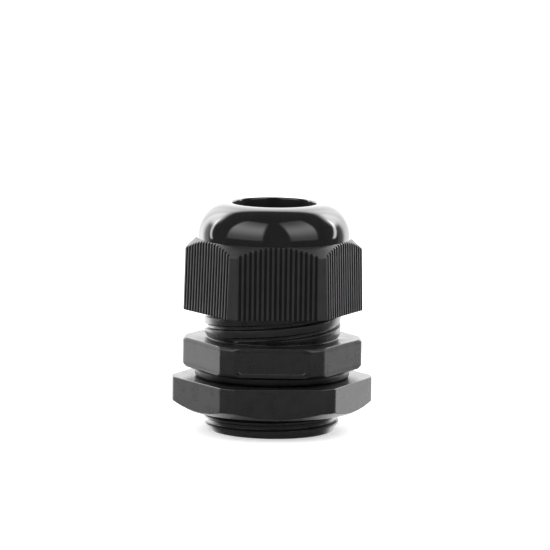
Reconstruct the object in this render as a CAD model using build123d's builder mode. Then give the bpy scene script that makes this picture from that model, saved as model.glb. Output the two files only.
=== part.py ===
from build123d import *

import math
import os

# Cable gland, PG16 size, in polyamide. It stands upright on the end of its panel thread, with +Z out of
# the cap nut's mouth and the origin on the axis in that end face. The front is -Y. From the bottom up:
# lock nut on the panel thread, sealing washer, hexagon flange, threaded neck and cap nut. The cap nut
# stands 4 mm, two thirds of a turn, above its tight place. Inside it are the clamping claw and the
# rubber seal, which travel up and down with it.

# ---- heights of the outside, from the end of the panel thread (mm)
LOCK_BOTTOM = 3.71
LOCK_TOP = 9.0
FLANGE_BOTTOM = 10.6
FLANGE_TOP = 15.56
CAP_BOTTOM = 20.13
NECK_TOP = 26.0
CAP_CORNER_TOP = 30.42
DOME_BASE = 32.2
CAP_TOP = 38.07

# ---- panel thread: 18 turns to the inch, with a tapered start. Groove heights are at the groove's middle
PANEL_PITCH = 25.4 / 18
PANEL_CREST = 11.25
PANEL_ROOT = 10.73
PANEL_FLOOR = 0.55
PANEL_MOUTH = 1.08
PANEL_FRONT_HEIGHT = 1.9
PANEL_GROOVE_START = 0.3
PANEL_GROOVE_END = 9.75
PANEL_END_RADIUS = 10.1
PANEL_END_TAPER = 1.8
PANEL_END_ROUND = 0.5

# ---- neck thread: three starts, 2 mm from ridge to ridge
NECK_STARTS = 3
NECK_LEAD = 6.0
NECK_CREST = 11.35
NECK_ROOT = 10.77
NECK_FLOOR = 0.45
NECK_MOUTH = 0.85
NECK_GROOVE_ANGLE = -129.5
NECK_GROOVE_START = 16.1
NECK_GROOVE_END = 27.4

# ---- clearances
THREAD_GAP = 0.13
AXIAL_GAP = 0.12
GROOVE_OVERSHOOT = 0.35

# ---- body
FLANGE_FLATS = 27.0
FLANGE_CORNERS = 14.93
FLANGE_CHAMFER = 0.45
PANEL_WIDTH = 10.9
PANEL_HEIGHT = 3.6
PANEL_DEPTH = 0.2
PANEL_CORNER = 0.5
BODY_BORE = 8.0
SEAT_HEIGHT = 13.4
SOCKET_BOTTOM = 9.5
SOCKET_TOP = 9.95
SOCKET_TAPER_TOP = 25.0
NECK_LIP = 0.3

# ---- cap nut
CAP_TURN = 3.5
CAP_FLATS_BOTTOM = 26.8
CAP_FLATS_TOP = 26.0
CAP_CORNERS_BOTTOM = 14.95
CAP_CORNERS_TOP = 14.73
CAP_SHOULDER = 12.8
DOME_RADIUS = 12.75
DOME_ROUND = 5.4
DOME_START = CAP_TOP - DOME_ROUND
HOLE_RADIUS = 7.0
LIP_ROUND = 0.3
RIBS = 16
RIB_PITCH = 0.83
RIB_GAP = 0.42
RIB_DEPTH = 0.25
CAP_LEAD = 0.8
CAP_LEAD_RADIUS = 11.6
CAP_THREAD_ANGLE = 255.0
CAP_TURNS = 2.2
CAP_GROOVE_LEVEL = 17.5
CAP_CAVITY_TOP = 31.1

# ---- lock nut
LOCK_TURN = 4.25
LOCK_FLATS = 30.1
LOCK_CORNERS = 16.68
LOCK_CONE_HEIGHT = 1.25
LOCK_FACE = 14.4
LOCK_MOUTH = 0.4
LOCK_THREAD_ANGLE = 225.0
LOCK_TURNS = 6

# ---- sealing washer
WASHER_OUTER = 12.9
WASHER_INNER = 11.35
WASHER_ROUND = 0.35

# ---- clamping claw
FINGERS = 10
FINGER_SLOT = 1.4
CLAW_BOTTOM = 17.5
CLAW_FLANGE_BOTTOM = 30.2
CLAW_FLANGE = 10.7
CLAW_INNER = 8.45
CLAW_TIP = 9.4
CLAW_ROOT = 9.8
CLAW_HEAD = 8.9
CLAW_TIP_CHAMFER = 0.4

# ---- seal
SEAL_INNER = 6.9
SEAL_OUTER = 8.4
SEAL_BOTTOM = 19.0
SEAL_TOP = 33.0
SEAL_CHAMFER = 0.5

FRONT = -90.0
OVERRUN = 1.0


def flat_plane(turn, apothem_low, apothem_high, low, high):
    """The plane of one flat of a tapered hexagon, turned about Z, with its x level and its y up the flat."""
    out = Vector(math.sin(math.radians(turn)), -math.cos(math.radians(turn)), 0)
    level = Vector(-out.Y, out.X, 0)
    up = Vector(0, 0, high - low) + out * (apothem_high - apothem_low)
    return Plane(origin=out * apothem_low + Vector(0, 0, low), x_dir=level, z_dir=level.cross(up))


def helix_path(pitch, radius, angle, low, high):
    """A right-handed helix that starts at an angle about Z and at a height."""
    line = Helix(pitch=pitch, height=high - low, radius=radius, mode=Mode.PRIVATE)
    return line.moved(Location((0, 0, low), (0, 0, angle)))


def groove_section(path, angle, outline):
    """A thread groove's cross-section at the start of its helix.

    The outline is a list of (distance out from the helix, width along the axis).
    """
    outward = Vector(1, 0, 0).rotate(Axis.Z, angle)
    right = [(distance, -width / 2) for distance, width in outline]
    left = [(distance, width / 2) for distance, width in reversed(outline)]
    with BuildSketch(Plane(origin=path @ 0, x_dir=outward, z_dir=path % 0)) as section:
        with BuildLine():
            Polyline(*right, *left, close=True)
        make_face()
    return section.sketch


def body_groove(lead, crest, root, floor, mouth, angle, low, high):
    """The helix and section that cut an outside thread into a rod of the crest's radius."""
    path = helix_path(lead, crest, angle, low, high)
    outline = [(root - crest, floor), (0, mouth), (GROOVE_OVERSHOOT, mouth)]
    return path, groove_section(path, angle, outline)


def nut_groove(lead, crest, root, floor, mouth, starts, angle, low, high):
    """The helix and section that cut the matching inside thread, with room round the ridge it holds."""
    path = helix_path(lead, root + THREAD_GAP, angle, low, high)
    depth = crest - root
    flank = (mouth - floor) / depth
    at_bore = lead / starts - floor - flank * THREAD_GAP + 2 * AXIAL_GAP
    outline = [(-GROOVE_OVERSHOOT, at_bore), (0, at_bore), (depth, at_bore - flank * depth)]
    return path, groove_section(path, angle, outline)


def helix_height(pitch, known_angle, known_height, angle, above):
    """The lowest height over a level at which a known helix passes an angle."""
    height = known_height + pitch * (angle - known_angle) / 360
    return height + pitch * math.ceil((above - height) / pitch)


PANEL_THREAD = (PANEL_PITCH, PANEL_CREST, PANEL_ROOT, PANEL_FLOOR, PANEL_MOUTH)
NECK_THREAD = (NECK_LEAD, NECK_CREST, NECK_ROOT, NECK_FLOOR, NECK_MOUTH)

# ---- body: panel thread, hexagon flange and neck, with the claw's tapered socket
panel_angle = FRONT - 360 * (PANEL_FRONT_HEIGHT - PANEL_GROOVE_START) / PANEL_PITCH
panel_path, panel_section = body_groove(
    *PANEL_THREAD, panel_angle, PANEL_GROOVE_START, PANEL_GROOVE_END
)
with BuildPart() as body:
    with BuildSketch(Plane.XY.offset(FLANGE_BOTTOM)):
        RegularPolygon(FLANGE_FLATS / 2, 6, major_radius=False)
    extrude(amount=FLANGE_TOP - FLANGE_BOTTOM)
    with BuildSketch(Plane.XZ):
        with BuildLine():
            Polyline(
                (0, FLANGE_BOTTOM),
                (FLANGE_CORNERS - FLANGE_CHAMFER, FLANGE_BOTTOM),
                (FLANGE_CORNERS, FLANGE_BOTTOM + FLANGE_CHAMFER),
                (FLANGE_CORNERS, FLANGE_TOP - FLANGE_CHAMFER),
                (FLANGE_CORNERS - FLANGE_CHAMFER, FLANGE_TOP),
                (0, FLANGE_TOP),
                close=True,
            )
        make_face()
    revolve(axis=Axis.Z, mode=Mode.INTERSECT)
    for turn in (0, 180):
        face = flat_plane(turn, FLANGE_FLATS / 2, FLANGE_FLATS / 2, FLANGE_BOTTOM, FLANGE_TOP)
        with BuildSketch(face.shift_origin(face.from_local_coords((0, (FLANGE_TOP - FLANGE_BOTTOM) / 2)))):
            RectangleRounded(PANEL_WIDTH, PANEL_HEIGHT, PANEL_CORNER)
        extrude(amount=-PANEL_DEPTH, mode=Mode.SUBTRACT)
    with BuildSketch(Plane.XZ):
        with BuildLine():
            Polyline(
                (0, 0),
                (PANEL_END_RADIUS, 0),
                (PANEL_CREST, PANEL_END_TAPER),
                (PANEL_CREST, FLANGE_BOTTOM + OVERRUN),
                (NECK_CREST, FLANGE_BOTTOM + OVERRUN),
                (NECK_CREST, NECK_TOP - NECK_LIP),
                (NECK_CREST - NECK_LIP, NECK_TOP),
                (0, NECK_TOP),
                close=True,
            )
        outline = make_face()
        fillet(outline.vertices().group_by(Axis.Y)[0].sort_by(Axis.X)[-1], PANEL_END_ROUND)
    revolve(axis=Axis.Z)
    with BuildSketch(Plane.XZ):
        with BuildLine():
            Polyline(
                (0, -OVERRUN),
                (BODY_BORE + NECK_LIP, -OVERRUN),
                (BODY_BORE + NECK_LIP, 0),
                (BODY_BORE, NECK_LIP),
                (BODY_BORE, SEAT_HEIGHT),
                (SOCKET_BOTTOM, SEAT_HEIGHT),
                (SOCKET_TOP, SOCKET_TAPER_TOP),
                (SOCKET_TOP, NECK_TOP + OVERRUN),
                (0, NECK_TOP + OVERRUN),
                close=True,
            )
        make_face()
    revolve(axis=Axis.Z, mode=Mode.SUBTRACT)
    sweep(panel_section, path=panel_path, is_frenet=True, mode=Mode.SUBTRACT)
    for start in range(NECK_STARTS):
        neck_path, neck_section = body_groove(
            *NECK_THREAD, NECK_GROOVE_ANGLE + 360 * start / NECK_STARTS, NECK_GROOVE_START, NECK_GROOVE_END
        )
        sweep(neck_section, path=neck_path, is_frenet=True, mode=Mode.SUBTRACT)

# ---- cap nut: ribbed hexagon with a domed crown, threaded inside below a cone that presses on the claw
cap_ridge_start = helix_height(
    NECK_LEAD,
    NECK_GROOVE_ANGLE,
    NECK_GROOVE_START + NECK_LEAD / NECK_STARTS / 2,
    CAP_THREAD_ANGLE,
    CAP_GROOVE_LEVEL,
)
cap_path, cap_section = nut_groove(
    *NECK_THREAD, NECK_STARTS, CAP_THREAD_ANGLE, cap_ridge_start, cap_ridge_start + CAP_TURNS * NECK_LEAD
)
cap_taper = math.degrees(
    math.atan((CAP_FLATS_BOTTOM - CAP_FLATS_TOP) / 2 / (DOME_BASE - CAP_BOTTOM))
)
with BuildPart() as cap_nut:
    with BuildSketch(Plane.XY.offset(CAP_BOTTOM)):
        RegularPolygon(CAP_FLATS_BOTTOM / 2, 6, major_radius=False, rotation=CAP_TURN)
    extrude(amount=DOME_BASE - CAP_BOTTOM, taper=cap_taper)
    with BuildSketch(Plane.XZ):
        with BuildLine():
            Polyline(
                (0, CAP_BOTTOM),
                (CAP_CORNERS_BOTTOM, CAP_BOTTOM),
                (CAP_CORNERS_TOP, CAP_CORNER_TOP),
                (CAP_SHOULDER, DOME_BASE),
                (0, DOME_BASE),
                close=True,
            )
        make_face()
    revolve(axis=Axis.Z, mode=Mode.INTERSECT)
    for side in range(6):
        face = flat_plane(
            CAP_TURN + 60 * side, CAP_FLATS_BOTTOM / 2, CAP_FLATS_TOP / 2, CAP_BOTTOM, DOME_BASE
        )
        with BuildSketch(face):
            with GridLocations(RIB_PITCH, 1, RIBS, 1):
                Rectangle(RIB_GAP, 2 * (CAP_TOP - CAP_BOTTOM))
        extrude(amount=-RIB_DEPTH, mode=Mode.SUBTRACT)
    with BuildSketch(Plane.XZ):
        with BuildLine():
            Polyline(
                (DOME_RADIUS - DOME_ROUND, CAP_TOP),
                (0, CAP_TOP),
                (0, DOME_BASE - OVERRUN),
                (DOME_RADIUS, DOME_BASE - OVERRUN),
                (DOME_RADIUS, DOME_START),
            )
            CenterArc((DOME_RADIUS - DOME_ROUND, DOME_START), DOME_ROUND, 0, 90)
        make_face()
    revolve(axis=Axis.Z)
    with BuildSketch(Plane.XZ):
        with BuildLine():
            Polyline(
                (HOLE_RADIUS + LIP_ROUND, CAP_TOP),
                (HOLE_RADIUS + LIP_ROUND, CAP_TOP + OVERRUN),
                (0, CAP_TOP + OVERRUN),
                (0, CAP_BOTTOM - OVERRUN),
                (NECK_ROOT + THREAD_GAP, CAP_BOTTOM - OVERRUN),
                (NECK_ROOT + THREAD_GAP, CAP_CAVITY_TOP),
                (HOLE_RADIUS, CAP_CAVITY_TOP + NECK_ROOT + THREAD_GAP - HOLE_RADIUS),
                (HOLE_RADIUS, CAP_TOP - LIP_ROUND),
            )
            CenterArc((HOLE_RADIUS + LIP_ROUND, CAP_TOP - LIP_ROUND), LIP_ROUND, 90, 90)
        make_face()
    revolve(axis=Axis.Z, mode=Mode.SUBTRACT)
    cap_groove = sweep(cap_section, path=cap_path, is_frenet=True, mode=Mode.PRIVATE)
    for start in range(NECK_STARTS):
        add(cap_groove.rotate(Axis.Z, 360 * start / NECK_STARTS), mode=Mode.SUBTRACT)
    with BuildSketch(Plane.XZ):
        with BuildLine():
            Polyline(
                (0, CAP_BOTTOM - OVERRUN),
                (CAP_LEAD_RADIUS, CAP_BOTTOM - OVERRUN),
                (CAP_LEAD_RADIUS, CAP_BOTTOM + CAP_LEAD),
                (0, CAP_BOTTOM + CAP_LEAD + CAP_LEAD_RADIUS),
                close=True,
            )
        make_face()
    revolve(axis=Axis.Z, mode=Mode.SUBTRACT)

# ---- lock nut: flat hexagon with a turned cone on its outer face
lock_ridge_start = helix_height(
    PANEL_PITCH,
    FRONT,
    PANEL_FRONT_HEIGHT + PANEL_PITCH / 2,
    LOCK_THREAD_ANGLE,
    LOCK_BOTTOM - PANEL_PITCH,
)
lock_path, lock_section = nut_groove(
    *PANEL_THREAD, 1, LOCK_THREAD_ANGLE, lock_ridge_start, lock_ridge_start + LOCK_TURNS * PANEL_PITCH
)
with BuildPart() as lock_nut:
    with BuildSketch(Plane.XY.offset(LOCK_BOTTOM)):
        RegularPolygon(LOCK_FLATS / 2, 6, major_radius=False, rotation=LOCK_TURN)
    extrude(amount=LOCK_TOP - LOCK_BOTTOM)
    with BuildSketch(Plane.XZ):
        with BuildLine():
            Polyline(
                (0, LOCK_BOTTOM),
                (LOCK_FACE, LOCK_BOTTOM),
                (LOCK_CORNERS, LOCK_BOTTOM + LOCK_CONE_HEIGHT),
                (LOCK_CORNERS, LOCK_TOP),
                (0, LOCK_TOP),
                close=True,
            )
        make_face()
    revolve(axis=Axis.Z, mode=Mode.INTERSECT)
    with BuildSketch(Plane.XZ):
        with BuildLine():
            Polyline(
                (0, LOCK_BOTTOM - OVERRUN),
                (PANEL_CREST + LOCK_MOUTH, LOCK_BOTTOM - OVERRUN),
                (PANEL_CREST + LOCK_MOUTH, LOCK_BOTTOM),
                (PANEL_ROOT + THREAD_GAP, LOCK_BOTTOM + LOCK_MOUTH),
                (PANEL_ROOT + THREAD_GAP, LOCK_TOP + OVERRUN),
                (0, LOCK_TOP + OVERRUN),
                close=True,
            )
        make_face()
    revolve(axis=Axis.Z, mode=Mode.SUBTRACT)
    sweep(lock_section, path=lock_path, is_frenet=True, mode=Mode.SUBTRACT)

# ---- sealing washer, loose on the panel thread
with BuildPart() as sealing_washer:
    with BuildSketch(Plane.XY.offset(LOCK_TOP)):
        Circle(WASHER_OUTER)
        Circle(WASHER_INNER, mode=Mode.SUBTRACT)
    extrude(amount=FLANGE_BOTTOM - LOCK_TOP)
    fillet(sealing_washer.edges().filter_by(GeomType.CIRCLE).group_by(SortBy.RADIUS)[-1], WASHER_ROUND)

# ---- clamping claw: a flanged ring with fingers that point down into the neck
with BuildPart() as clamping_claw:
    with BuildSketch(Plane.XZ):
        with BuildLine():
            Polyline(
                (CLAW_INNER, CLAW_BOTTOM),
                (CLAW_TIP - CLAW_TIP_CHAMFER, CLAW_BOTTOM),
                (CLAW_TIP, CLAW_BOTTOM + CLAW_TIP_CHAMFER),
                (CLAW_ROOT, CLAW_FLANGE_BOTTOM),
                (CLAW_FLANGE, CLAW_FLANGE_BOTTOM),
                (CLAW_FLANGE, CAP_CAVITY_TOP),
                (CLAW_HEAD, CAP_CAVITY_TOP + CLAW_FLANGE - CLAW_HEAD),
                (CLAW_INNER, CAP_CAVITY_TOP + CLAW_FLANGE - CLAW_HEAD),
                close=True,
            )
        make_face()
    revolve(axis=Axis.Z)
    with BuildSketch(Plane.XY.offset(CLAW_BOTTOM - OVERRUN)):
        with PolarLocations((CLAW_INNER + CLAW_ROOT) / 2, FINGERS):
            Rectangle(CLAW_ROOT - CLAW_INNER + OVERRUN, FINGER_SLOT)
    extrude(amount=CLAW_FLANGE_BOTTOM - CLAW_BOTTOM, mode=Mode.SUBTRACT)

# ---- seal: a rubber sleeve inside the fingers
with BuildPart() as seal_insert:
    with BuildSketch(Plane.XZ):
        with BuildLine():
            Polyline(
                (SEAL_INNER, SEAL_BOTTOM + SEAL_CHAMFER),
                (SEAL_INNER + SEAL_CHAMFER, SEAL_BOTTOM),
                (SEAL_OUTER, SEAL_BOTTOM),
                (SEAL_OUTER, SEAL_TOP),
                (SEAL_INNER + SEAL_CHAMFER, SEAL_TOP),
                (SEAL_INNER, SEAL_TOP - SEAL_CHAMFER),
                close=True,
            )
        make_face()
    revolve(axis=Axis.Z)

body.part.label = "body"
cap_nut.part.label = "cap_nut"
lock_nut.part.label = "lock_nut"
sealing_washer.part.label = "sealing_washer"
clamping_claw.part.label = "clamping_claw"
seal_insert.part.label = "seal_insert"

os.makedirs("parts", exist_ok=True)
export_step(body.part, "parts/body.step")
export_step(cap_nut.part, "parts/cap_nut.step")
export_step(lock_nut.part, "parts/lock_nut.step")
export_step(sealing_washer.part, "parts/sealing_washer.step")
export_step(clamping_claw.part, "parts/clamping_claw.step")
export_step(seal_insert.part, "parts/seal_insert.step")
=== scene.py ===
import math

import bmesh
import bpy
from mathutils import Matrix, Vector


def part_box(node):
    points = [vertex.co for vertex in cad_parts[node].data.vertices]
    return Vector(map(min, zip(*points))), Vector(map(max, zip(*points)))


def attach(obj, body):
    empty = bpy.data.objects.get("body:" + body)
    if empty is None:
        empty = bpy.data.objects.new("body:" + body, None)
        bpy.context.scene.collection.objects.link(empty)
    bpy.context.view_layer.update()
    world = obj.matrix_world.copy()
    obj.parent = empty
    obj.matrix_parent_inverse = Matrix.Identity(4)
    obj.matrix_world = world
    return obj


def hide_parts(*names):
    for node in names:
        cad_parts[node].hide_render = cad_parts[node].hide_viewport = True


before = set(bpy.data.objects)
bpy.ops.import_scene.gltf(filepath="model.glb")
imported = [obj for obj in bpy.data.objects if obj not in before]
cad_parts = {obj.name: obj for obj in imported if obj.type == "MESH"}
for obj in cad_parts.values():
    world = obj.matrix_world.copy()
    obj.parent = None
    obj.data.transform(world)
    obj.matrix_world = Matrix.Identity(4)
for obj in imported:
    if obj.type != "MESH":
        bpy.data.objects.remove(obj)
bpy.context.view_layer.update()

# Looks for a cable gland. The visible pieces are rebuilt here as fine meshes with rounded edges, in the
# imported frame. Lengths are in millimetres and angles in degrees until a mesh is made.
MM = 0.001
FRONT = -90.0


def heights(node):
    """The lowest and highest z of a CAD node, in millimetres."""
    low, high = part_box(node)
    return low.z / MM, high.z / MM


BODY_LOW, BODY_HIGH = heights("body")
CAP_LOW, CAP_HIGH = heights("cap_nut")
LOCK_LOW, LOCK_HIGH = heights("lock_nut")
WASHER_LOW, WASHER_HIGH = heights("sealing_washer")
SEAL_LOW, SEAL_HIGH = heights("seal_insert")

# ---- body (mm)
FLANGE_LOW = WASHER_HIGH
FLANGE_HIGH = 15.56
FLANGE_FLATS = 27.0
FLANGE_CORNERS = 14.93
FLANGE_CHAMFER = 0.45
RECESS_WIDTH = 10.9
RECESS_HEIGHT = 3.6
RECESS_DEPTH = 0.1
RECESS_CORNER = 0.5
RECESS_SLOPE = 0.1
BORE = 8.0
SEAT = 13.4
SOCKET_LOW = 9.5
SOCKET_HIGH = 9.95
SOCKET_TAPER_TOP = 25.0
SOCKET_EDGE = 0.2
SOCKET_BEND = 1.0
BORE_EDGE = 0.3
BODY_EDGE = 0.3
NECK_FILLET = 0.1
PANEL_FILLET = 0.2

# ---- threads (mm). A fade is the angle over which a groove runs out, in degrees
PANEL_PITCH = 25.4 / 18
PANEL_CREST = 11.25
PANEL_ROOT = 10.73
PANEL_FLOOR = 0.55
PANEL_MOUTH = 1.08
PANEL_FRONT_HEIGHT = 1.9
PANEL_START = 0.3
PANEL_END = 9.75
PANEL_END_RADIUS = 10.45
PANEL_TAPER = 1.3
PANEL_TAPER_ROUND = 0.6
PANEL_END_ROUND = 0.5
PANEL_END_LEVEL = 0.55
PANEL_FADE = 30.0
NECK_PITCH = 2.0
NECK_CREST = 11.35
NECK_ROOT = 10.77
NECK_STARTS = 3
NECK_FLOOR = 0.45
NECK_MOUTH = 0.85
NECK_ANGLE = -129.5
NECK_START = 16.1
NECK_END = 27.4
NECK_FOOT_TOP = 16.4
NECK_FOOT_SLOPE = 0.6
NECK_FADE = 9.0
THREAD_GAP = 0.13
AXIAL_GAP = 0.12
THREAD_EDGE = 0.1

# ---- cap nut (mm)
CAP_TURN = 3.5
CAP_FLATS_LOW = 26.8
CAP_FLATS_HIGH = 26.0
CAP_CORNERS_LOW = 14.95
CAP_CORNERS_HIGH = 14.73
CAP_CORNER_TOP = 30.42
CAP_SHOULDER = 12.8
CAP_THREAD_TOP = 30.95
CAP_CAVITY_TOP = 31.1
CAP_LEAD = 0.8
CAP_LEAD_RADIUS = 11.6
CAP_LEAD_TOP = CAP_LOW + CAP_LEAD + CAP_LEAD_RADIUS - NECK_ROOT - THREAD_GAP
CAP_CONE_EDGE = 0.3
CORNER_EDGE = 0.16
SHOULDER_EDGE = 0.12
DOME_LOW = 32.2
DOME_RADIUS = 12.75
DOME_ROUND = 5.4
DOME_STEPS = 28
HOLE_RADIUS = 7.0
LIP_ROUND = 0.3
RIBS = 16
RIB_PITCH = 0.83
RIB_GAP = 0.42
RIB_DEPTH = 0.25
RIB_EDGE = 0.09
RIB_FOOT = 0.07
RIB_MARGIN = 0.02
CREASE_REACH = 0.3
CREASE_ROW = 16  # how many of a column's points are below its crease

# ---- lock nut (mm)
LOCK_TURN = 4.25
LOCK_FLATS = 30.1
LOCK_CORNERS = 16.68
LOCK_CONE_HEIGHT = 1.25
LOCK_FACE = 14.4
LOCK_MOUTH = 0.4
LOCK_MOUTH_SLOPE = 2.0

# ---- washer and seal (mm)
WASHER_OUTER = 12.9
WASHER_INNER = 11.35
WASHER_OUTER_ROUND = 0.6
WASHER_INNER_ROUND = 0.1
SEAL_INNER = 6.9
SEAL_OUTER = 8.4
SEAL_INNER_ROUND = 0.5
SEAL_OUTER_ROUND = 0.25

# ---- meshes: the usual rounding and steps in mm, counts, and the angle of a sharp edge in degrees
EDGE = 0.14
EDGE_DEPTHS = (0, 0.02, 0.05, 0.09, EDGE)
SIDE_STEP = 0.5
CORNER_STEP = 0.35
LEVEL_STEP = 0.65
FINE_STEP = 0.055
FINE_REACH = 0.12
ROUND_STEPS = 5
FEW_STEPS = 3
RIB_STEPS = 2
SPIN = 288
MERGE = 0.0005
SHARP = 50

# ---- finishes of the cap nut, as numbers of its materials; the inside and the grooves are darker, duller copies of the nylon for painted shade
RIBBED, GLOSS, INSIDE_SHADE, GROOVE_SHADE = range(4)


# ---- small geometry helpers

def corner_arc(before, corner, after, radius, steps):
    """The points of the arc that rounds a corner between two straight lines."""
    corner = Vector(corner)
    to_before = (Vector(before) - corner).normalized()
    to_after = (Vector(after) - corner).normalized()
    half = to_before.angle(to_after) / 2
    centre = corner + (to_before + to_after).normalized() * (radius / math.sin(half))
    spoke = corner + to_before * (radius / math.tan(half)) - centre
    sweep = math.pi - 2 * half
    if to_before.cross(to_after) > 0:
        sweep = -sweep
    return [tuple(centre + Matrix.Rotation(sweep * k / steps, 2) @ spoke) for k in range(steps + 1)]


def rounded(corners, steps=ROUND_STEPS):
    """An outline with rounded corners. Each corner is (x, y) where it is sharp, or (x, y, radius)."""
    points = []
    for i, corner in enumerate(corners):
        if len(corner) == 2:
            points.append(corner)
            continue
        before, after = corners[i - 1][:2], corners[(i + 1) % len(corners)][:2]
        points += corner_arc(before, corner[:2], after, corner[2], steps)
    return points


def divided(stops, step):
    """The stops with every gap between them cut into equal steps no longer than one step."""
    values = [stops[0]]
    for start, end in zip(stops, stops[1:]):
        count = max(1, math.ceil((end - start) / step - 1e-6))
        values += [start + (end - start) * k / count for k in range(1, count + 1)]
    return values


def mirrored(stops):
    """Stops from 0 up, with the same stops below 0. The last one is only on the upper side."""
    return [-value for value in reversed(stops[1:-1])] + list(stops)


def between(points, x):
    """The y of an outline at x, where its points go up in x."""
    if x <= points[0][0]:
        return points[0][1]
    for (x0, y0), (x1, y1) in zip(points, points[1:]):
        if x <= x1:
            return y0 + (y1 - y0) * (x - x0) / (x1 - x0) if x1 > x0 else y1
    return points[-1][1]


def smooth_step(low, high, value):
    """0 at low and 1 at high, with a smooth change between them."""
    part = min(max((value - low) / (high - low), 0.0), 1.0)
    return part * part * (3 - 2 * part)


def soft_min(a, b, width):
    """The smaller of two lengths, with the change from one to the other rounded over a width."""
    near = max(width - abs(a - b), 0.0) / width
    return min(a, b) - near * near * width / 4


def edge_inset(distance, radius):
    """How far a rounded edge falls back at a distance from the end it rounds."""
    if distance >= radius:
        return 0.0
    return radius - math.sqrt(radius * radius - (radius - distance) ** 2)


def ring(radius, z, angles):
    """One row of points round the axis."""
    return [
        (radius * math.cos(math.radians(a)), radius * math.sin(math.radians(a)), z) for a in angles
    ]


def rings(outline, angles):
    """A row of points round the axis for each (radius, z) of an outline."""
    return [ring(radius, z, angles) for radius, z in outline]


class Skin:
    """The points and faces of one piece, in millimetres.

    Parts that end on the same points are joined when the mesh is made.
    """

    def __init__(self):
        self.points = []
        self.faces = []
        self.finishes = []

    def band(self, rows, finish=0):
        """Quads between rows of points, each of which runs once round the axis.

        The finish is a material's number, or one for each column.
        """
        first = len(self.points)
        count = len(rows[0])
        for row in rows:
            self.points += row
        for j in range(len(rows) - 1):
            low = first + j * count
            for i in range(count):
                k = (i + 1) % count
                self.faces.append((low + i, low + k, low + count + k, low + count + i))
                self.finishes.append(finish if isinstance(finish, int) else finish[i])

    def coil(self, columns, turn, finish=0):
        """Quads between columns of points that climb a helix.

        Past the last column comes the first again, with its points a number of rows further on.
        """
        first = len(self.points)
        height = len(columns[0])
        for column in columns:
            self.points += column
        for i in range(len(columns)):
            here = first + i * height
            there = first + (i + 1) % len(columns) * height
            shift = turn if i == len(columns) - 1 else 0
            for j in range(height - 1 - shift):
                self.faces.append(
                    (here + j, there + j + shift, there + j + shift + 1, here + j + 1)
                )
                self.finishes.append(finish)

    def stitch(self, row_a, angles_a, row_b, angles_b, finish=0):
        """Triangles between two rows whose points are at different angles."""
        first = len(self.points)
        self.points += row_a + row_b
        count_a, count_b = len(row_a), len(row_b)
        around_a = [angle - angles_a[0] for angle in angles_a] + [360.0]
        order_b = sorted(range(count_b), key=lambda k: (angles_b[k] - angles_a[0]) % 360)
        around_b = [(angles_b[k] - angles_a[0]) % 360 for k in order_b]
        around_b.append(around_b[0] + 360)
        i = j = 0
        while i < count_a or j < count_b:
            here_a = first + i % count_a
            here_b = first + count_a + order_b[j % count_b]
            if j == count_b or (i < count_a and around_a[i + 1] <= around_b[j + 1]):
                i += 1
                self.faces.append((here_a, first + i % count_a, here_b))
            else:
                j += 1
                self.faces.append((here_a, first + count_a + order_b[j % count_b], here_b))
            self.finishes.append(finish)


class Thread:
    """The surface of a screw thread: right-handed helical grooves in a cylinder or, inside, in a bore."""

    def __init__(
        self, pitch, starts, radius, profile, angle, height, start, end, fade, inside=False
    ):
        self.pitch = pitch
        self.starts = starts
        self.lead = pitch * starts
        self.radius = radius
        self.profile = profile
        self.angle = angle
        self.height = height
        self.start = start
        self.end = end
        self.fade = fade
        self.sign = 1 if inside else -1

    def middle(self, angle):
        """The height of the first groove's middle at an angle."""
        return self.height + self.lead * (angle - self.angle) / 360

    def at(self, angle, z):
        """The surface's radius at an angle and a height."""
        middle = self.middle(angle)
        middle += self.pitch * round((z - middle) / self.pitch)
        run_in = smooth_step(0, self.fade, (middle - self.start) / self.lead * 360)
        run_out = smooth_step(0, self.fade, (self.end - middle) / self.lead * 360)
        return self.radius + self.sign * between(self.profile, z - middle) * run_in * run_out

    def row(self, angles, z, most=math.inf):
        """One row of points round the axis at a height, pulled in where the thread goes past a radius."""
        return [ring(min(self.at(angle, z), most), z, [angle])[0] for angle in angles]

    def columns(self, angles, low, high, limit):
        """Columns of points from low to high, with rows that follow the helix, for Skin.coil.

        The limit gives a point's radius from its height and the thread's own radius there.
        """
        rows = [offset for offset, _ in self.profile[:-1]]
        base = self.middle(angles[0])
        first = math.floor((low - base - self.pitch / 2) / self.pitch) - self.starts
        last = math.ceil((high - base + self.pitch / 2) / self.pitch) + 1
        columns = []
        for angle in angles:
            column = []
            for turn in range(first, last + 1):
                for offset in rows:
                    z = self.middle(angle) + turn * self.pitch + offset
                    z = min(max(z, low), high)
                    radius = limit(z, self.at(angle, z))
                    column += ring(radius, z, [angle])
            columns.append(column)
        return columns, len(rows) * self.starts


def groove_profile(pitch, floor, mouth, depth, edge):
    """A groove's depth against the height from its middle, from the middle of one ridge to the next."""
    return rounded(
        [
            (-pitch / 2, 0),
            (-mouth / 2, 0, edge),
            (-floor / 2, depth, edge),
            (floor / 2, depth, edge),
            (mouth / 2, 0, edge),
            (pitch / 2, 0),
        ],
        FEW_STEPS,
    )


def outside_thread(pitch, starts, crest, root, floor, mouth, angle, height, start, end, fade):
    profile = groove_profile(pitch, floor, mouth, crest - root, THREAD_EDGE)
    return Thread(pitch, starts, crest, profile, angle, height, start, end, fade)


def inside_thread(pitch, starts, crest, root, floor, mouth, angle, height, start, end, fade):
    """The thread of the nut that fits an outside thread, with the gaps of the CAD model."""
    depth = crest - root
    flank = (mouth - floor) / depth
    nut_mouth = pitch - floor - flank * THREAD_GAP + 2 * AXIAL_GAP
    nut_floor = nut_mouth - flank * depth
    profile = groove_profile(pitch, nut_floor, nut_mouth, depth, THREAD_EDGE / 2)
    return Thread(
        pitch, starts, root + THREAD_GAP, profile, angle, height + pitch / 2,
        start, end, fade, inside=True,
    )


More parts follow.
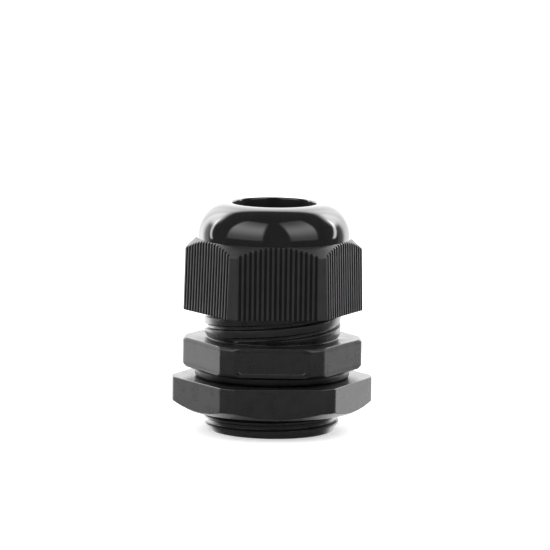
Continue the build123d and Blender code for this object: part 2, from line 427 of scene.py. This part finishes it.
def place(side_angle, out, along):
    """The point at a distance out from the axis and along a hexagon's side, as x and y."""
    a = math.radians(side_angle)
    return (
        out * math.cos(a) - along * math.sin(a),
        out * math.sin(a) + along * math.cos(a),
    )


def clipped(x, y, limit, width):
    """A point pulled in to a radius, with a rounded edge where that radius takes over."""
    radius = math.hypot(x, y)
    scale = soft_min(radius, limit, width) / radius
    return x * scale, y * scale


def make(name, skin, materials, body, node):
    """A piece from a skin, on a CAD body and in place of its CAD node."""
    shape = bmesh.new()
    points = [shape.verts.new(Vector(point) * MM) for point in skin.points]
    for face, finish in zip(skin.faces, skin.finishes):
        shape.faces.new([points[i] for i in face]).material_index = finish
    bmesh.ops.remove_doubles(shape, verts=shape.verts, dist=MERGE * MM)
    bmesh.ops.dissolve_degenerate(shape, edges=shape.edges, dist=MERGE * MM)
    bmesh.ops.recalc_face_normals(shape, faces=shape.faces)
    mesh = bpy.data.meshes.new(name)
    shape.to_mesh(mesh)
    shape.free()
    mesh.shade_smooth()
    mesh.set_sharp_from_angle(angle=math.radians(SHARP))
    for material in materials:
        mesh.materials.append(material)
    piece = bpy.data.objects.new(name, mesh)
    bpy.context.scene.collection.objects.link(piece)
    weighted = piece.modifiers.new("weighted", "WEIGHTED_NORMAL")
    weighted.keep_sharp = True
    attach(piece, body)
    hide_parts(node)


# ---- materials

class Nodes:
    """Short calls for building the nodes of a material or of the world."""

    def __init__(self, tree):
        self.tree = tree

    def add(self, kind, **settings):
        """A new node of a kind, with its settings."""
        node = self.tree.nodes.new(kind)
        for key, value in settings.items():
            setattr(node, key, value)
        return node

    def link(self, source, target):
        self.tree.links.new(source, target)

    def noise(self, place, size, detail=2.0, rough=0.5):
        """Noise whose lumps are about one size across, in millimetres."""
        node = self.add("ShaderNodeTexNoise")
        node.inputs["Scale"].default_value = 1 / (size * MM)
        node.inputs["Detail"].default_value = detail
        node.inputs["Roughness"].default_value = rough
        self.link(place, node.inputs["Vector"])
        return node.outputs["Fac"]

    def span(self, value, low, high, from_low=0.0, from_high=1.0, kind="LINEAR"):
        """A value taken from one range to another, and held at its ends."""
        node = self.add("ShaderNodeMapRange", interpolation_type=kind)
        self.link(value, node.inputs["Value"])
        limits = {
            "From Min": from_low, "From Max": from_high, "To Min": low, "To Max": high
        }
        for name, number in limits.items():
            node.inputs[name].default_value = number
        return node.outputs["Result"]

    def math(self, operation, a, b=None):
        """The result of an operation on sockets or numbers."""
        node = self.add("ShaderNodeMath", operation=operation)
        for socket, value in zip(node.inputs, (a, b)):
            if value is None:
                continue
            if isinstance(value, (int, float)):
                socket.default_value = value
            else:
                self.link(value, socket)
        return node.outputs["Value"]

    def bump(self, pattern, height):
        """A bump node for a pattern, as high as this in millimetres."""
        node = self.add("ShaderNodeBump")
        node.inputs["Strength"].default_value = 1
        node.inputs["Distance"].default_value = height * MM
        self.link(pattern, node.inputs["Height"])
        return node


# The size of a finish's clouds in mm, and the parts of the noise's range that its colour and shine use.
CLOUD = 2.2
CLOUD_RANGE = (0.3, 0.7)
SHINE_RANGE = (0.35, 0.65)


def plastic(name, dark, light, roughness, spread, grain, ripple, specular=0.5):
    """A moulded black finish.

    dark and light are the ends of its colour, roughness and spread give its shine and how much that
    varies, and grain and ripple are (size, height) of its fine texture and of its slow waves, in mm.
    """
    material = bpy.data.materials.new(name)
    material.use_nodes = True
    nodes = Nodes(material.node_tree)
    shader = material.node_tree.nodes["Principled BSDF"]
    shader.inputs["Specular IOR Level"].default_value = specular
    place_socket = nodes.add("ShaderNodeTexCoord").outputs["Object"]
    cloud = nodes.noise(place_socket, CLOUD, 4.0)
    speck = nodes.noise(place_socket, grain[0], 3.0, 0.6)
    colour = nodes.add("ShaderNodeMix", data_type="RGBA")
    colour.inputs["A"].default_value = (*dark, 1)
    colour.inputs["B"].default_value = (*light, 1)
    nodes.link(nodes.span(cloud, 0, 1, *CLOUD_RANGE), colour.inputs["Factor"])
    nodes.link(colour.outputs["Result"], shader.inputs["Base Color"])
    shine = nodes.math("ADD", nodes.math("MULTIPLY", cloud, 0.5), nodes.math("MULTIPLY", speck, 0.5))
    nodes.link(
        nodes.span(shine, roughness - spread, roughness + spread, *SHINE_RANGE),
        shader.inputs["Roughness"],
    )
    fine = nodes.bump(speck, grain[1])
    slow = nodes.bump(nodes.noise(place_socket, ripple[0], 1.0), ripple[1])
    nodes.link(slow.outputs["Normal"], fine.inputs["Normal"])
    nodes.link(fine.outputs["Normal"], shader.inputs["Normal"])
    return material


satin = plastic(
    "satin_nylon", (0.0085, 0.0085, 0.0088), (0.0115, 0.0115, 0.0118),
    roughness=0.3, spread=0.05, grain=(0.16, 0.008), ripple=(3.0, 0.012), specular=0.45,
)
ribbed = plastic(
    "ribbed_nylon", (0.0115, 0.0115, 0.0118), (0.0145, 0.0145, 0.0148),
    roughness=0.42, spread=0.05, grain=(0.14, 0.006), ripple=(3.0, 0.01), specular=0.4,
)
gloss = plastic(
    "gloss_nylon", (0.004, 0.004, 0.0043), (0.0055, 0.0055, 0.006),
    roughness=0.07, spread=0.02, grain=(0.3, 0.0006), ripple=(2.5, 0.006),
)
# painted shade: the inside of the cap nut is the same nylon, painted darker and given less shine to stand
# for the shade in its hollow
inside = plastic(
    "inside_painted_shade_nylon", (0.003, 0.003, 0.003), (0.0045, 0.0045, 0.0045),
    roughness=0.45, spread=0.05, grain=(0.16, 0.006), ripple=(3.0, 0.01), specular=0.2,
)
# painted shade: the grooves between the ribs are the same nylon, painted darker and given less shine to
# stand for the shade in them
groove_painted_shade = plastic(
    "groove_painted_shade_nylon", (0.0025, 0.0025, 0.0026), (0.004, 0.004, 0.0042),
    roughness=0.5, spread=0.05, grain=(0.14, 0.006), ripple=(3.0, 0.01), specular=0.22,
)
rubber = plastic(
    "black_rubber", (0.003, 0.0028, 0.0024), (0.005, 0.0047, 0.004),
    roughness=0.42, spread=0.08, grain=(0.2, 0.01), ripple=(2.0, 0.01), specular=0.3,
)
claw_nylon = plastic(
    "claw_nylon", (0.009, 0.009, 0.0095), (0.013, 0.013, 0.0135),
    roughness=0.38, spread=0.06, grain=(0.18, 0.006), ripple=(3.0, 0.01),
)


# ---- body: one skin from the socket over the neck, the flange and the panel thread to the bore

def hexagon_columns(half_stops):
    """(side, distance along it) for every column round a hexagon."""
    along = mirrored(half_stops)
    return [(side, x) for side in range(6) for x in along]


def column_angles(columns, turn, apothem):
    """The angle of each column. They go up from the first."""
    return [FRONT + turn + 60 * side + math.degrees(math.atan2(x, apothem)) for side, x in columns]


def recess_depth(side, x, z, middle):
    """How far the flange's front and rear flats are sunk at a place."""
    if side not in (0, 3):
        return 0.0
    dx = abs(x) - RECESS_WIDTH / 2 + RECESS_CORNER
    dz = abs(z - middle) - RECESS_HEIGHT / 2 + RECESS_CORNER
    outside = math.hypot(max(dx, 0), max(dz, 0)) + min(max(dx, dz), 0) - RECESS_CORNER
    return RECESS_DEPTH * smooth_step(RECESS_SLOPE, -RECESS_SLOPE, outside)


def flange_corner_radius(z):
    """The radius that takes the flange's corners off at a height, with a chamfer at each end."""
    chamfer_low = FLANGE_CORNERS - FLANGE_CHAMFER + (z - FLANGE_LOW)
    chamfer_high = FLANGE_CORNERS - FLANGE_CHAMFER + (FLANGE_HIGH - z)
    return soft_min(soft_min(FLANGE_CORNERS, chamfer_low, EDGE), chamfer_high, EDGE)


def flange_row(columns, z, middle):
    """One row of points round the flange. The middle is the height of its recesses' middle."""
    inset = edge_inset(min(z - FLANGE_LOW, FLANGE_HIGH - z), EDGE)
    row = []
    for side, x in columns:
        out = FLANGE_FLATS / 2 - inset - recess_depth(side, x, z, middle)
        px, py = place(FRONT + 60 * side, out, x)
        px, py = clipped(px, py, flange_corner_radius(z) - inset, EDGE)
        row.append((px, py, z))
    return row


def build_body():
    apothem = FLANGE_FLATS / 2
    turn_point = math.sqrt(FLANGE_CORNERS ** 2 - apothem ** 2)
    vertex = apothem * math.tan(math.pi / 6)
    recess_edge = RECESS_WIDTH / 2
    half = divided([0, recess_edge - RECESS_CORNER], SIDE_STEP)
    half += divided([recess_edge - RECESS_CORNER, recess_edge + FINE_REACH], FINE_STEP)[1:]
    half += divided([recess_edge + 0.3, turn_point - EDGE / 2], 0.25)
    half += [turn_point, turn_point + EDGE / 2]
    half += divided([turn_point + EDGE, vertex], CORNER_STEP)
    columns = hexagon_columns(half)
    angles = column_angles(columns, 0, apothem)

    neck = outside_thread(
        NECK_PITCH, NECK_STARTS, NECK_CREST, NECK_ROOT, NECK_FLOOR, NECK_MOUTH,
        NECK_ANGLE, NECK_START, NECK_START, NECK_END, NECK_FADE,
    )
    panel = outside_thread(
        PANEL_PITCH, 1, PANEL_CREST, PANEL_ROOT, PANEL_FLOOR, PANEL_MOUTH,
        FRONT, PANEL_FRONT_HEIGHT, PANEL_START, PANEL_END, PANEL_FADE,
    )
    skin = Skin()
    # neck: from the top of the thread down to the flange, over a small fillet
    rim = BODY_HIGH - BODY_EDGE
    foot = FLANGE_HIGH + NECK_FILLET
    foot_radius = NECK_CREST - NECK_FOOT_SLOPE * (NECK_FOOT_TOP - foot)

    def undercut(z, radius):
        return min(radius, foot_radius + NECK_FOOT_SLOPE * (z - foot))

    skin.coil(*neck.columns(angles, foot, rim, undercut))
    rim_rows = [
        neck.row(angles, z, radius)
        for radius, z in corner_arc(
            (NECK_CREST, foot), (NECK_CREST, BODY_HIGH), (BORE, BODY_HIGH), BODY_EDGE, ROUND_STEPS
        )
    ]
    inner = rounded(
        [
            (NECK_CREST, BODY_HIGH),
            (SOCKET_HIGH, BODY_HIGH, SOCKET_EDGE),
            (SOCKET_HIGH, SOCKET_TAPER_TOP, SOCKET_BEND),
            (SOCKET_LOW, SEAT, SOCKET_EDGE),
            (BORE, SEAT, SOCKET_EDGE),
            (BORE, BODY_LOW, BORE_EDGE),
            (PANEL_END_RADIUS, BODY_LOW),
        ]
    )[1:-1]
    skin.band(rim_rows + rings(inner, angles))
    fillet = corner_arc(
        (foot_radius, rim), (foot_radius, FLANGE_HIGH), (FLANGE_CORNERS, FLANGE_HIGH),
        NECK_FILLET, ROUND_STEPS,
    )
    top = rings(fillet, angles)
    # flange
    middle = (FLANGE_LOW + FLANGE_HIGH) / 2
    near = [*EDGE_DEPTHS, 0.22, 0.34, FLANGE_CHAMFER, 0.52, 0.66]
    recess_top = RECESS_HEIGHT / 2
    upper = divided([0, recess_top - RECESS_CORNER], LEVEL_STEP)
    upper += divided([recess_top - RECESS_CORNER, recess_top + FINE_REACH], FINE_STEP)[1:]
    levels = [FLANGE_HIGH - d for d in near]
    levels += [middle + d for d in reversed(upper[1:])] + [middle - d for d in upper]
    levels += [FLANGE_LOW + d for d in reversed(near)]
    rows = [flange_row(columns, z, middle) for z in levels]
    # panel thread: tapered and rounded at its end
    taper = rounded(
        [
            (0, PANEL_END_RADIUS - 2),
            (0, PANEL_END_RADIUS, PANEL_END_ROUND),
            (PANEL_TAPER, PANEL_CREST, PANEL_TAPER_ROUND),
            (FLANGE_LOW, PANEL_CREST),
        ]
    )
    end = [point for point in taper if point[0] < PANEL_END_LEVEL]
    under = FLANGE_LOW - PANEL_FILLET
    bottom_fillet = corner_arc(
        (FLANGE_CORNERS, FLANGE_LOW), (PANEL_CREST, FLANGE_LOW), (PANEL_CREST, 0),
        PANEL_FILLET, FEW_STEPS,
    )
    skin.band(top + rows + rings(bottom_fillet, angles))

    def tapered(z, radius):
        return min(radius, between(taper, z))

    skin.coil(*panel.columns(angles, PANEL_END_LEVEL, under, tapered))
    end_rows = [
        panel.row(angles, z, radius)
        for z, radius in [(PANEL_END_LEVEL, between(taper, PANEL_END_LEVEL))] + end[::-1][:-1]
    ]
    skin.band(end_rows + [rings(inner, angles)[-1]])
    make("gland_body", skin, [satin], "body", "body")


# ---- cap nut: ribbed hexagon, shoulder cone, dome and mouth

def cap_apothem(z):
    """The distance of the flats from the axis at a height."""
    share = (z - CAP_LOW) / (DOME_LOW - CAP_LOW)
    return (CAP_FLATS_LOW + (CAP_FLATS_HIGH - CAP_FLATS_LOW) * share) / 2


def cap_cylinder(z):
    """The radius that takes the corners off at a height."""
    share = (z - CAP_LOW) / (CAP_CORNER_TOP - CAP_LOW)
    return CAP_CORNERS_LOW + (CAP_CORNERS_HIGH - CAP_CORNERS_LOW) * share


def cap_cone(z):
    """The radius of the shoulder cone at a height."""
    share = (z - CAP_CORNER_TOP) / (DOME_LOW - CAP_CORNER_TOP)
    return CAP_CORNERS_HIGH + (CAP_SHOULDER - CAP_CORNERS_HIGH) * share


def rib_outline():
    """(distance along the side, depth) across the grooves of one side."""
    end = RIBS * RIB_PITCH / 2 - RIB_MARGIN
    corners = [(-end, 0)]
    for i in range(RIBS):
        middle = (i - (RIBS - 1) / 2) * RIB_PITCH
        corners += [
            (middle - RIB_GAP / 2, 0, RIB_EDGE),
            (middle - RIB_GAP / 2, RIB_DEPTH, RIB_FOOT),
            (middle + RIB_GAP / 2, RIB_DEPTH, RIB_FOOT),
            (middle + RIB_GAP / 2, 0, RIB_EDGE),
        ]
    corners.append((end, 0))
    return rounded(corners, RIB_STEPS)


def cap_column(x, depth, z):
    """The distance out and along a side of one column at a height, before the corners are taken off.

    x is a distance along the side. For a corner it is (sign, share): the end of the side, and the share
    of the way from the flat's end to the vertex.
    """
    out = cap_apothem(z)
    if isinstance(x, tuple):
        sign, share = x
        level = min(z, CAP_CORNER_TOP)
        flat_end = math.sqrt(cap_cylinder(level) ** 2 - cap_apothem(level) ** 2)
        vertex = out * math.tan(math.pi / 6)
        x = sign * (flat_end + (vertex - flat_end) * share)
    return out - depth, x


def cap_crease(x, depth):
    """The height at which a column runs into the shoulder cone."""
    z = CAP_CORNER_TOP
    for _ in range(6):
        radius = min(math.hypot(*cap_column(x, depth, z)), cap_cylinder(CAP_CORNER_TOP))
        share = (CAP_CORNERS_HIGH - radius) / (CAP_CORNERS_HIGH - CAP_SHOULDER)
        z = CAP_CORNER_TOP + share * (DOME_LOW - CAP_CORNER_TOP)
    return min(z, DOME_LOW)


def cap_levels(crease):
    """The heights of one column's points, closest at the lower edge and at the crease."""
    below = [CAP_LOW + d for d in (*EDGE_DEPTHS, 0.25)]
    room = min(1.0, (DOME_LOW - crease) / CREASE_REACH)
    below += [CAP_LOW + (crease - CAP_LOW) * share for share in (0.2, 0.4, 0.6, 0.8, 0.93)]
    below += [crease - d for d in (CREASE_REACH, 0.18, 0.1, 0.05, 0.02)]
    above = [crease + d * room for d in (0, 0.02, 0.05, 0.1, 0.18)]
    last = crease + (DOME_LOW - crease) * 0.65 if room == 1.0 else crease + 0.24 * room
    return below + above + [last, DOME_LOW]


def cap_point(side, x, depth, z):
    """A point of the ribbed hexagon, with its corners and its shoulder taken off."""
    out, along = cap_column(x, depth, z)
    inset = edge_inset(z - CAP_LOW, EDGE)
    px, py = place(FRONT + CAP_TURN + 60 * side, out - inset, along)
    px, py = clipped(px, py, cap_cylinder(z) - inset, CORNER_EDGE)
    px, py = clipped(px, py, cap_cone(z), SHOULDER_EDGE)
    return px, py, z


def build_cap():
    corner_shares = [-0.09, 0.0, 0.09, 0.2, 0.35, 0.5, 0.65, 0.8]
    columns = []
    for side in range(6):
        columns += [(side, (-1, share), 0.0) for share in reversed(corner_shares)]
        columns += [(side, x, depth) for x, depth in rib_outline()]
        columns += [(side, (1, share), 0.0) for share in corner_shares + [1.0]]
    angles = []
    for side, x, depth in columns:
        out, along = cap_column(x, depth, DOME_LOW)
        angles.append(FRONT + CAP_TURN + 60 * side + math.degrees(math.atan2(along, out)))
    levels = [cap_levels(cap_crease(x, depth)) for _, x, depth in columns]
    rows = [
        [cap_point(*column, heights_of[j]) for column, heights_of in zip(columns, levels)]
        for j in range(len(levels[0]))
    ]
    thread = inside_thread(
        NECK_PITCH, NECK_STARTS, NECK_CREST, NECK_ROOT, NECK_FLOOR, NECK_MOUTH,
        NECK_ANGLE, NECK_START, CAP_LOW - 2 * NECK_PITCH, CAP_THREAD_TOP, NECK_FADE,
    )
    even = [FRONT + 360 * k / SPIN for k in range(SPIN)]
    skin = Skin()
    skin.stitch(ring(CAP_LEAD_RADIUS, CAP_LOW, even), even, rows[0], angles, RIBBED)
    # the grooves between the ribs get painted shade, a darker and less shiny copy of the ribbed nylon, up
    # to the crease
    shaded_sunk_columns = [depth > RIB_DEPTH / 3 for _, _, depth in columns]
    flutes_with_painted_shade = [
        GROOVE_SHADE if here and there else RIBBED for here, there in zip(shaded_sunk_columns, shaded_sunk_columns[1:] + shaded_sunk_columns[:1])
    ]
    skin.band(rows[:CREASE_ROW + 1], flutes_with_painted_shade)
    skin.band(rows[CREASE_ROW:], RIBBED)
    start = CAP_HIGH - DOME_ROUND
    dome = [(DOME_RADIUS, DOME_LOW), (DOME_RADIUS, (DOME_LOW + start) / 2)]
    dome += [
        (DOME_RADIUS - DOME_ROUND + DOME_ROUND * math.cos(a), start + DOME_ROUND * math.sin(a))
        for a in (math.pi / 2 * k / DOME_STEPS for k in range(DOME_STEPS + 1))
    ]
    dome += corner_arc(
        (DOME_RADIUS, CAP_HIGH), (HOLE_RADIUS, CAP_HIGH), (HOLE_RADIUS, CAP_LOW),
        LIP_ROUND, ROUND_STEPS,
    )
    skin.stitch(rows[-1], angles, ring(*dome[0], even), even, GLOSS)
    skin.band(rings(dome, even), GLOSS)
    # inside, painted darker and duller for the shade in the hollow: from the hole down the cone that
    # presses the claw, to the thread and its lead-in
    bore = NECK_ROOT + THREAD_GAP
    cone_top = CAP_CAVITY_TOP + bore - HOLE_RADIUS
    inner = [dome[-1]] + corner_arc(
        dome[-1], (HOLE_RADIUS, cone_top), (bore, CAP_CAVITY_TOP), CAP_CONE_EDGE, ROUND_STEPS
    )
    inner.append((bore, CAP_CAVITY_TOP))
    skin.band(rings(inner, even) + [thread.row(even, CAP_CAVITY_TOP)], INSIDE_SHADE)

    def lead_in(z, radius):
        return max(radius, min(CAP_LEAD_RADIUS, bore + CAP_LEAD_TOP - z))

    skin.coil(*thread.columns(even, CAP_LOW, CAP_CAVITY_TOP, lead_in), INSIDE_SHADE)
    materials = [ribbed, gloss, inside, groove_painted_shade]
    make("cap_nut_shell", skin, materials, "cap_nut", "cap_nut")


# ---- lock nut: flat hexagon with a turned cone on its outer face

def lock_cone(z):
    """The radius of the turned cone at a height."""
    return LOCK_FACE + (LOCK_CORNERS - LOCK_FACE) * (z - LOCK_LOW) / LOCK_CONE_HEIGHT


def lock_levels(out, x):
    """The heights of one column's points, bottom up."""
    radius = min(math.hypot(out, x), LOCK_CORNERS)
    crease = LOCK_LOW + LOCK_CONE_HEIGHT * (radius - LOCK_FACE) / (LOCK_CORNERS - LOCK_FACE)
    levels = [LOCK_LOW + (crease - LOCK_LOW) * share for share in (0, 0.08, 0.16, 0.35, 0.55)]
    levels += [crease - d for d in (0.12, 0.06, 0.03)]
    levels += [crease + d for d in (0, 0.03, 0.06, 0.12, 0.25)]
    top = LOCK_HIGH - CREASE_REACH
    levels += [crease + (top - crease) * share for share in (0.3, 0.6)]
    return levels + [top, LOCK_HIGH - 0.2] + [LOCK_HIGH - d for d in reversed(EDGE_DEPTHS)]


def lock_point(side, x, z):
    """A point of the lock nut's hexagon, with its corners and its cone taken off."""
    inset = edge_inset(LOCK_HIGH - z, EDGE)
    px, py = place(FRONT + LOCK_TURN + 60 * side, LOCK_FLATS / 2 - inset, x)
    px, py = clipped(px, py, LOCK_CORNERS - inset, EDGE)
    px, py = clipped(px, py, lock_cone(z), SHOULDER_EDGE)
    return px, py, z


def build_lock_nut():
    apothem = LOCK_FLATS / 2
    flat_end = math.sqrt(LOCK_CORNERS ** 2 - apothem ** 2)
    vertex = apothem * math.tan(math.pi / 6)
    half = divided([0, flat_end - 0.4], SIDE_STEP)
    half += [flat_end - 0.2, flat_end - 0.08, flat_end, flat_end + 0.08]
    half += divided([flat_end + 0.2, vertex], CORNER_STEP)
    columns = hexagon_columns(half)
    angles = column_angles(columns, LOCK_TURN, apothem)
    levels = [lock_levels(apothem, x) for _, x in columns]
    rows = [
        [lock_point(*column, heights_of[j]) for column, heights_of in zip(columns, levels)]
        for j in range(len(levels[0]))
    ]
    thread = inside_thread(
        PANEL_PITCH, 1, PANEL_CREST, PANEL_ROOT, PANEL_FLOOR, PANEL_MOUTH,
        FRONT, PANEL_FRONT_HEIGHT, LOCK_LOW - PANEL_PITCH, LOCK_HIGH + PANEL_PITCH, PANEL_FADE,
    )

    def mouth(z, radius):
        return max(radius, PANEL_CREST + LOCK_MOUTH - (z - LOCK_LOW) * LOCK_MOUTH_SLOPE)

    def opening(z):
        return [ring(mouth(z, thread.at(angle, z)), z, [angle])[0] for angle in angles]

    skin = Skin()
    skin.band([opening(LOCK_LOW)] + rows + [opening(LOCK_HIGH)])
    skin.coil(*thread.columns(angles, LOCK_LOW, LOCK_HIGH, mouth))
    make("lock_nut_ring", skin, [satin], "lock_nut", "lock_nut")


# ---- washer and seal: turned rings

def turned(outline):
    """The skin of a ring whose section is an outline of (radius, z, rounding)."""
    skin = Skin()
    angles = [360 * k / SPIN for k in range(SPIN)]
    points = rounded(outline)
    skin.band(rings(points + points[:1], angles))
    return skin


def build_washer():
    skin = turned(
        [
            (WASHER_INNER, WASHER_LOW, WASHER_INNER_ROUND),
            (WASHER_OUTER, WASHER_LOW, WASHER_OUTER_ROUND),
            (WASHER_OUTER, WASHER_HIGH, WASHER_OUTER_ROUND),
            (WASHER_INNER, WASHER_HIGH, WASHER_INNER_ROUND),
        ]
    )
    make("washer_ring", skin, [rubber], "washer", "sealing_washer")


def build_seal():
    skin = turned(
        [
            (SEAL_INNER, SEAL_LOW, SEAL_INNER_ROUND),
            (SEAL_OUTER, SEAL_LOW, SEAL_OUTER_ROUND),
            (SEAL_OUTER, SEAL_HIGH, SEAL_OUTER_ROUND),
            (SEAL_INNER, SEAL_HIGH, SEAL_INNER_ROUND),
        ]
    )
    make("seal_sleeve", skin, [rubber], "insert", "seal_insert")


build_body()
build_cap()
build_lock_nut()
build_washer()
build_seal()
# the claw keeps its CAD mesh, in a finish of its own
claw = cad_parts["clamping_claw"]
claw.data.materials.clear()
claw.data.materials.append(claw_nylon)


# ---- floor, light and camera

FLOOR_REACH = 4.0  # metres
FLOOR_GREY = 0.85
FLOOR_GLOW = 0.4


def build_floor():
    """A white floor that glows a little, so that it meets the white background."""
    mesh = bpy.data.meshes.new("floor")
    corners = [(-1, -1), (1, -1), (1, 1), (-1, 1)]
    mesh.from_pydata(
        [(x * FLOOR_REACH, y * FLOOR_REACH, 0) for x, y in corners], [], [(0, 1, 2, 3)]
    )
    material = bpy.data.materials.new("floor")
    material.use_nodes = True
    shader = material.node_tree.nodes["Principled BSDF"]
    shader.inputs["Base Color"].default_value = (FLOOR_GREY, FLOOR_GREY, FLOOR_GREY, 1)
    shader.inputs["Roughness"].default_value = 0.9
    shader.inputs["Specular IOR Level"].default_value = 0.0
    shader.inputs["Emission Color"].default_value = (1, 1, 1, 1)
    shader.inputs["Emission Strength"].default_value = FLOOR_GLOW
    mesh.materials.append(material)
    floor = bpy.data.objects.new("floor", mesh)
    bpy.context.scene.collection.objects.link(floor)
    floor.visible_glossy = False


# The light from all round: brightness, how much more there is at half height, softness of its edges, and
# the corners as (azimuth, elevation). Azimuth is 0 in front, where the camera is, and grows to the right.
# The parts of the wall behind share their upright edges, so they run into each other. The glow at half
# height grows and falls off over the elevations in GLOW_RISE and GLOW_FALL. SHADE is the light elsewhere.
SHADE = 0.2
GLOW_RISE = (8, 40)
GLOW_FALL = (38, 70)
LIGHTS = (
    (0.9, 2.7, 0.04, ((-17, 4), (-75, 4), (-80, 61), (-17, 66))),
    (0.8, 2.35, 0.04, ((26, 4), (14, 69), (88, 65), (69, 4))),
    (7.0, 0.0, 0.03, ((-105, -5), (-110, -5), (-124, 38), (-112, 24))),
    (8.0, 0.0, 0.03, ((99, 0), (113, 26), (124, 38), (120, 24), (106, 0))),
    (1.3, 0.0, 0.1, ((-112, -25), (-129, -25), (-129, 22), (-117, 22))),
    (0.4, 0.0, 0.1, ((112, -25), (117, 22), (129, 22), (129, -25))),
    (8.5, 0.0, 0.1, ((-115, 22), (-115, 36), (-129, 43), (-129, 22))),
    (8.5, 0.0, 0.1, ((115, 22), (129, 22), (129, 43), (115, 36))),
    (4.6, 3.4, 0.1, ((-129, -25), (-145, -25), (-145, 46), (-129, 43))),
    (3.3, 4.6, 0.1, ((129, -25), (129, 43), (145, 46), (145, -25))),
    (2.8, 2.0, 0.1, ((-145, -30), (-162, -30), (-162, 48), (-145, 46))),
    (2.5, 2.4, 0.1, ((145, -30), (145, 46), (162, 48), (162, -30))),
    (2.2, 1.0, 0.1, ((-162, -35), (162, -35), (162, 48), (-162, 48))),
)


def toward(azimuth, elevation):
    """The direction at an azimuth from the front, and an elevation."""
    a, e = math.radians(azimuth), math.radians(elevation)
    return Vector((math.sin(a) * math.cos(e), -math.cos(a) * math.cos(e), math.sin(e)))


def build_world():
    """A studio of soft light: two boxes in front, a strip at each side and a bright wall behind.

    Each light is a flat-edged patch of the sky: inside all the planes through its edges and the centre.
    """
    world = bpy.data.worlds.new("studio")
    bpy.context.scene.world = world
    world.use_nodes = True
    nodes = Nodes(world.node_tree)
    background = world.node_tree.nodes["Background"]
    direction = nodes.add("ShaderNodeTexCoord").outputs["Generated"]
    split = nodes.add("ShaderNodeSeparateXYZ")
    nodes.link(direction, split.inputs["Vector"])
    elevation = nodes.math("DEGREES", nodes.math("ARCSINE", split.outputs["Z"]))
    glow = nodes.math(
        "MULTIPLY",
        nodes.span(elevation, 0, 1, *GLOW_RISE, "SMOOTHSTEP"),
        nodes.span(elevation, 1, 0, *GLOW_FALL, "SMOOTHSTEP"),
    )
    total = SHADE
    for plain, more, soft, corners in LIGHTS:
        area = nodes.math("ADD", nodes.math("MULTIPLY", glow, more), plain)
        places = [toward(*corner) for corner in corners]
        middle = sum(places, Vector())
        for a, b in zip(places, places[1:] + places[:1]):
            edge = a.cross(b).normalized()
            if edge.dot(middle) < 0:
                edge.negate()
            side = nodes.add("ShaderNodeVectorMath", operation="DOT_PRODUCT")
            side.inputs[1].default_value = edge
            nodes.link(direction, side.inputs[0])
            inside_edge = nodes.span(side.outputs["Value"], 0, 1, -soft, soft, "SMOOTHSTEP")
            area = nodes.math("MULTIPLY", area, inside_edge)
        total = nodes.math("ADD", area, total)
    nodes.link(total, background.inputs["Strength"])
    background.inputs["Color"].default_value = (1, 1, 1, 1)


# The camera: what it looks at, how far it stands off and how wide its view is there, in mm, and the angles
# of its height and of its roll.
TARGET = (0.27, 0, 25.9)
DISTANCE = 720.0
VIEW_WIDTH = 91.5
SENSOR = 36.0
ELEVATION = 7.9
ROLL = 0.84


def build_camera():
    """The photograph's view: nearly level, from the front, through a long lens."""
    lift = math.radians(ELEVATION)
    back = Vector((0, -math.cos(lift), math.sin(lift)))
    data = bpy.data.cameras.new("camera")
    data.sensor_width = SENSOR
    data.lens = SENSOR * DISTANCE / VIEW_WIDTH
    data.clip_start = 0.01
    data.clip_end = 20
    camera = bpy.data.objects.new("camera", data)
    camera.location = (Vector(TARGET) + back * DISTANCE) * MM
    facing = back.to_track_quat("Z", "Y").to_matrix()
    camera.rotation_euler = (facing @ Matrix.Rotation(math.radians(ROLL), 3, "Z")).to_euler()
    bpy.context.scene.collection.objects.link(camera)
    bpy.context.scene.camera = camera


build_floor()
build_world()
build_camera()
bpy.context.scene.view_settings.view_transform = "Standard"
